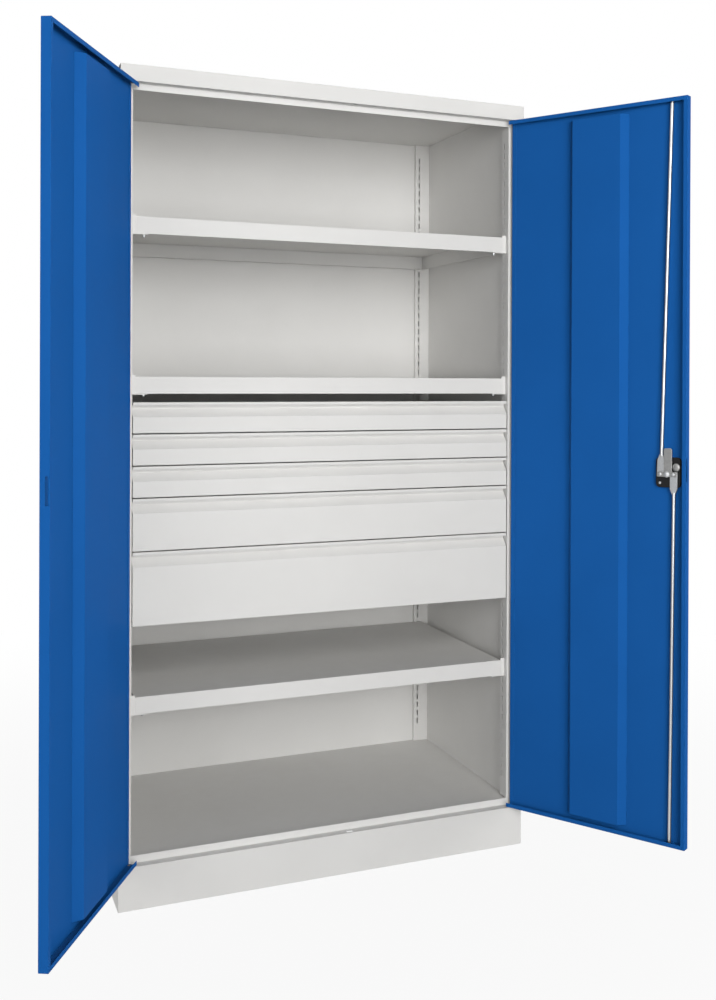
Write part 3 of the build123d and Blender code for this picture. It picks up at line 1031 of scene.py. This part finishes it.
@dataclass
class RodLock:
    """The rod lock: case, cam, rods and handle, with its small fasteners.

    Places are those of the closed door. Fields that end in round, top, rise, wall or margin
    are shares of the height, radius or corner that they go with.
    """

    palette: Palette
    shaft_x: float = 0.0535
    shaft_z: float = 1.0
    cam_back: float = -0.2838
    throw: float = 0.017
    rivet_radius: float = 0.0042
    rivet_height: float = 0.0018
    rivet_round: float = 0.7
    rivet_top: float = 0.35
    rivet_rise: float = 0.2
    washer_radius: float = 0.0072
    washer_height: float = 0.0010
    washer_round: float = 0.4
    bolt_radius: float = 0.0052
    bolt_height: float = 0.0032
    bolt_round: float = 0.2
    bolt_top: float = 0.25
    bolt_rise: float = 0.1
    case_x: tuple[float, float] = (0.0205, 0.0845)
    case_z: tuple[float, float] = (0.968, 1.041)
    case_front: float = -0.2988
    case_back: float = -0.2904
    case_corner: float = 0.0095
    case_rim: float = 0.0012
    case_border: float = 0.0030
    case_recess: float = 0.0008
    case_screw_radius: float = 0.0032
    case_screw_margin: float = 1.1
    boss_radius: float = 0.0100
    boss_height: float = 0.0031
    boss_wall: float = 0.25
    boss_place: tuple[float, float] = (0.0315, 1.0172)
    boss_steps: int = 8
    plate_front: float = -0.3030
    plate_screw_radius: float = 0.0034
    plate_screw_height: float = 0.0012
    plate_screws: tuple[float, float] = (0.970, 1.080)

    def dress(self) -> None:
        """Plates the cam, rods and key cylinder, and blackens the case, plate and handle."""
        dress(("rod_top", "rod_bottom"), self.palette.rod)
        dress(("lock_cam",), self.palette.stamped)
        dress(("key_core",), self.palette.zinc)
        dress(("lock_case", "lock_plate", "lock_handle"), self.palette.black)

    def turn(self) -> Matrix:
        """Returns the turn from the closed door to the door at rest."""
        return opened("right_door_hinge")

    def rivet(self, name: str, x: float) -> None:
        """Adds a domed rivet head on the cam.

        Args:
            name: The head's name.
            x: Its place along the cam, with the door closed.
        """
        base = Vector((x, self.cam_back, self.shaft_z))
        head = Blank.round_bar(name, self.rivet_radius, self.rivet_height, base, INWARD)
        head.pick_rim(INWARD)
        head.bevel(self.rivet_height * self.rivet_round, segments=4)
        head.pick_end(INWARD)
        head.inset(self.rivet_radius * self.rivet_top, self.rivet_height * self.rivet_rise)
        head.done(self.palette.zinc, Body.LOCK, Slot.ZINC, self.turn())

    def bolt(self) -> None:
        """Adds the washer and hexagon bolt that hold the cam on its shaft."""
        seat = Vector((self.shaft_x, self.cam_back, self.shaft_z))
        height = self.washer_height
        washer = Blank.round_bar("cam_washer", self.washer_radius, height, seat, INWARD)
        washer.pick_rim(INWARD)
        washer.bevel(height * self.washer_round, segments=2)
        washer.done(self.palette.zinc, Body.LOCK, Slot.ZINC, self.turn())
        seat = seat + INWARD * height
        height = self.bolt_height
        bolt = Blank.round_bar("cam_bolt", self.bolt_radius, height, seat, INWARD, sides=6)
        bolt.pick_rim(INWARD)
        bolt.bevel(height * self.bolt_round, segments=2)
        bolt.pick_end(INWARD)
        bolt.inset(self.bolt_radius * self.bolt_top, height * self.bolt_rise)
        bolt.done(self.palette.zinc, Body.LOCK, Slot.ZINC, self.turn())

    def boss(self) -> None:
        """Adds the domed metal boss beside the cam."""
        x, z = self.boss_place
        seat = Vector((x, self.case_back - self.case_recess, z))
        foot = self.case_recess + self.boss_height * self.boss_wall
        boss = Blank.round_bar("case_boss", self.boss_radius, foot, seat, INWARD, sides=48)
        rise = self.boss_height * (1 - self.boss_wall) / (self.boss_steps - 1)
        for step in range(1, self.boss_steps):
            before, after = (math.sqrt(1 - (k / self.boss_steps) ** 2) for k in (step - 1, step))
            boss.pick_end(INWARD)
            boss.inset((before - after) * self.boss_radius, rise)
        boss.done(self.palette.stamped, Body.RIGHT_DOOR, Slot.ZINC, self.turn())

    def case(self) -> None:
        """Adds the moulded case: rounded corners and rim, a sunk panel and two flush screws."""
        low = Vector((self.case_x[0], self.case_front, self.case_z[0]))
        high = Vector((self.case_x[1], self.case_back, self.case_z[1]))
        case = Blank.block("moulded_case", low, high)
        case.pick("EDGE", lambda middle, along: abs(along.y) > ALIGNED)
        case.bevel(self.case_corner, segments=8)
        case.pick_rim(INWARD)
        case.bevel(self.case_rim)
        case.pick_end(INWARD)
        case.inset(self.case_border)
        case.push(INWARD * -self.case_recess)
        case.done(self.palette.black, Body.RIGHT_DOOR, Slot.BLACK, self.turn())
        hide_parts("lock_case")
        margin = self.case_corner * self.case_screw_margin
        places = {"lower": self.case_z[0] + margin, "upper": self.case_z[1] - margin}
        for place, z in places.items():
            seat = Vector((self.case_x[1] - margin, self.case_back - self.case_recess, z))
            name = f"case_screw_{place}"
            screw = fastener(name, self.case_screw_radius, self.case_recess, seat, INWARD)
            screw.done(self.palette.zinc, Body.RIGHT_DOOR, Slot.ZINC, self.turn())

    def build(self) -> None:
        """Adds the rivet heads, bolt, case, boss and plate screws."""
        self.rivet("rivet_head_top", self.shaft_x + self.throw)
        self.rivet("rivet_head_bottom", self.shaft_x - self.throw)
        self.bolt()
        self.case()
        self.boss()
        for place, z in zip(("lower", "upper"), self.plate_screws):
            seat = Vector((self.shaft_x, self.plate_front, z))
            radius, height = self.plate_screw_radius, self.plate_screw_height
            screw = fastener(f"plate_screw_{place}", radius, height, seat, OUTWARD)
            screw.done(self.palette.zinc, Body.RIGHT_DOOR, Slot.ZINC, self.turn())


def backdrop_seen(g: Graph) -> Socket:
    """Masks the rays that meet the white backdrop: the camera's, mirrored and passed ones.

    Args:
        g: The floor's or the world's graph.

    Returns:
        The mask's socket.
    """
    path = g.add("LightPath")
    camera, glossy = path.outputs["Is Camera Ray"], path.outputs["Is Glossy Ray"]
    seen = g.math("ADD", camera, glossy, clamp=True)
    return g.math("MAXIMUM", seen, path.outputs["Is Transmission Ray"])


@dataclass(frozen=True)
class Softbox:
    """A square lamp, placed by its bearing round the cabinet from straight ahead."""

    name: str
    bearing: float
    distance: float
    height: float
    size: float
    power: float

    def place(self) -> Vector:
        """Works out where the lamp hangs.

        Returns:
            Its place.
        """
        turn = math.radians(self.bearing)
        x, y = self.distance * math.sin(turn), -self.distance * math.cos(turn)
        return Vector((x, y, self.height))


@dataclass
class Studio:
    """Floor, backdrop, lamps and camera."""

    lamps: tuple[Softbox, ...] = (
        Softbox("front_lamp", 0.0, 7.0, 1.4, 3.0, 176.0),
        Softbox("near_lamp", 0.0, 3.2, 2.0, 1.4, 31.0),
        Softbox("left_lamp", -38.0, 7.0, 1.8, 3.0, 91.0),
        Softbox("right_lamp", 62.0, 7.0, 1.8, 3.0, 98.0),
        Softbox("left_rear_lamp", -120.0, 7.0, 1.8, 3.0, 130.0),
        Softbox("right_rear_lamp", 120.0, 7.0, 1.8, 3.0, 130.0),
        Softbox("back_lamp", 180.0, 5.0, 5.0, 3.0, 120.0),
    )
    middle: Vector = field(default_factory=lambda: Vector((0.0, 0.0, 1.0)))
    floor_size: float = 60.0
    floor_colour: Colour = (0.28, 0.28, 0.28)
    floor_roughness: float = 0.9
    glow_from: float = 0.6
    glow_to: float = 3.0
    glow_least: float = 0.93
    ambient: float = 0.07
    focal: float = 42.38
    sensor: float = 36.0
    shift: tuple[float, float] = (-0.08163, -0.11612)
    sight: float = 200.0
    eye: Vector = field(default_factory=lambda: Vector((-0.93208, -3.06452, 1.22482)))
    yaw: float = 0.4133
    pitch: float = -0.00284
    roll: float = 0.00398

    def floor(self) -> None:
        """Lays a plain pale floor that keeps the cabinet's shadow."""
        deselect()
        bpy.ops.mesh.primitive_plane_add(size=self.floor_size, location=(0.0, 0.0, 0.0))
        floor = bpy.context.active_object
        floor.name = "floor"
        material, g, skin = shader_graph("floor_paper")
        skin.inputs["Base Color"].default_value = (*self.floor_colour, 1.0)
        skin.inputs["Roughness"].default_value = self.floor_roughness
        distance = g.add("VectorMath", operation="LENGTH")
        g.feed(g.place(), distance.inputs[0])
        reach = distance.outputs["Value"]
        far = g.ramp(reach, self.glow_from, self.glow_to, (self.glow_least, 1.0))
        glow = g.add("Emission")
        glow.inputs["Strength"].default_value = 1.0
        mix = g.add("MixShader")
        g.feed(g.times(backdrop_seen(g), far), mix.inputs[0])
        g.feed(skin.outputs[0], mix.inputs[1])
        g.feed(glow.outputs[0], mix.inputs[2])
        g.feed(mix.outputs[0], material.node_tree.nodes["Material Output"].inputs["Surface"])
        floor.data.materials.append(material)

    def world(self) -> None:
        """Makes the surroundings white to the camera and plain to the object."""
        world = bpy.data.worlds.new("studio")
        world.use_nodes = True
        g = Graph(world.node_tree)
        world.node_tree.nodes.clear()
        plain = g.add("Background")
        plain.inputs["Color"].default_value = (1.0, 1.0, 1.0, 1.0)
        plain.inputs["Strength"].default_value = self.ambient
        white = g.add("Background")
        white.inputs["Color"].default_value = (1.0, 1.0, 1.0, 1.0)
        white.inputs["Strength"].default_value = 1.0
        mix = g.add("MixShader")
        g.feed(backdrop_seen(g), mix.inputs[0])
        g.feed(plain.outputs[0], mix.inputs[1])
        g.feed(white.outputs[0], mix.inputs[2])
        out = g.add("OutputWorld")
        g.feed(mix.outputs[0], out.inputs["Surface"])
        bpy.context.scene.world = world

    def lamp(self, lamp: Softbox) -> None:
        """Hangs a soft square lamp that faces the cabinet's middle.

        Args:
            lamp: Its name, place, size and power.
        """
        data = bpy.data.lights.new(lamp.name, "AREA")
        data.energy = lamp.power
        data.shape = "SQUARE"
        data.size = lamp.size
        thing = bpy.data.objects.new(lamp.name, data)
        place = lamp.place()
        thing.location = place
        thing.rotation_euler = (self.middle - place).to_track_quat("-Z", "Y").to_euler()
        bpy.context.scene.collection.objects.link(thing)

    def camera(self) -> None:
        """Stands the camera where the photograph was taken."""
        ahead = Vector(
            (
                math.sin(self.yaw) * math.cos(self.pitch),
                math.cos(self.yaw) * math.cos(self.pitch),
                math.sin(self.pitch),
            )
        )
        level = Vector((math.cos(self.yaw), -math.sin(self.yaw), 0.0))
        over = level.cross(ahead)
        right = level * math.cos(self.roll) + over * math.sin(self.roll)
        up = over * math.cos(self.roll) - level * math.sin(self.roll)
        data = bpy.data.cameras.new("camera")
        data.lens = self.focal
        data.sensor_width = self.sensor
        data.shift_x, data.shift_y = self.shift
        data.clip_end = self.sight
        thing = bpy.data.objects.new("camera", data)
        turned = Matrix((right, up, -ahead)).transposed().to_4x4()
        thing.matrix_world = Matrix.Translation(self.eye) @ turned
        bpy.context.scene.collection.objects.link(thing)
        bpy.context.scene.camera = thing

    def build(self) -> None:
        """Sets up the whole studio."""
        bpy.context.scene.view_settings.view_transform = "Standard"
        self.floor()
        self.world()
        for lamp in self.lamps:
            self.lamp(lamp)
        self.camera()


def main() -> None:
    """Dresses the cabinet, adds its small pieces and sets up the studio."""
    logging.basicConfig(level=logging.INFO, format="%(name)s: %(message)s")
    palette = Palette()
    carcass = Carcass(palette)
    carcass.dress()
    carcass.build()
    drawers = DrawerStack(palette)
    drawers.dress()
    drawers.build()
    doors = WingDoors(palette)
    doors.dress()
    doors.build()
    lock = RodLock(palette)
    lock.dress()
    lock.build()
    Studio().build()


if __name__ == "__main__":
    main()
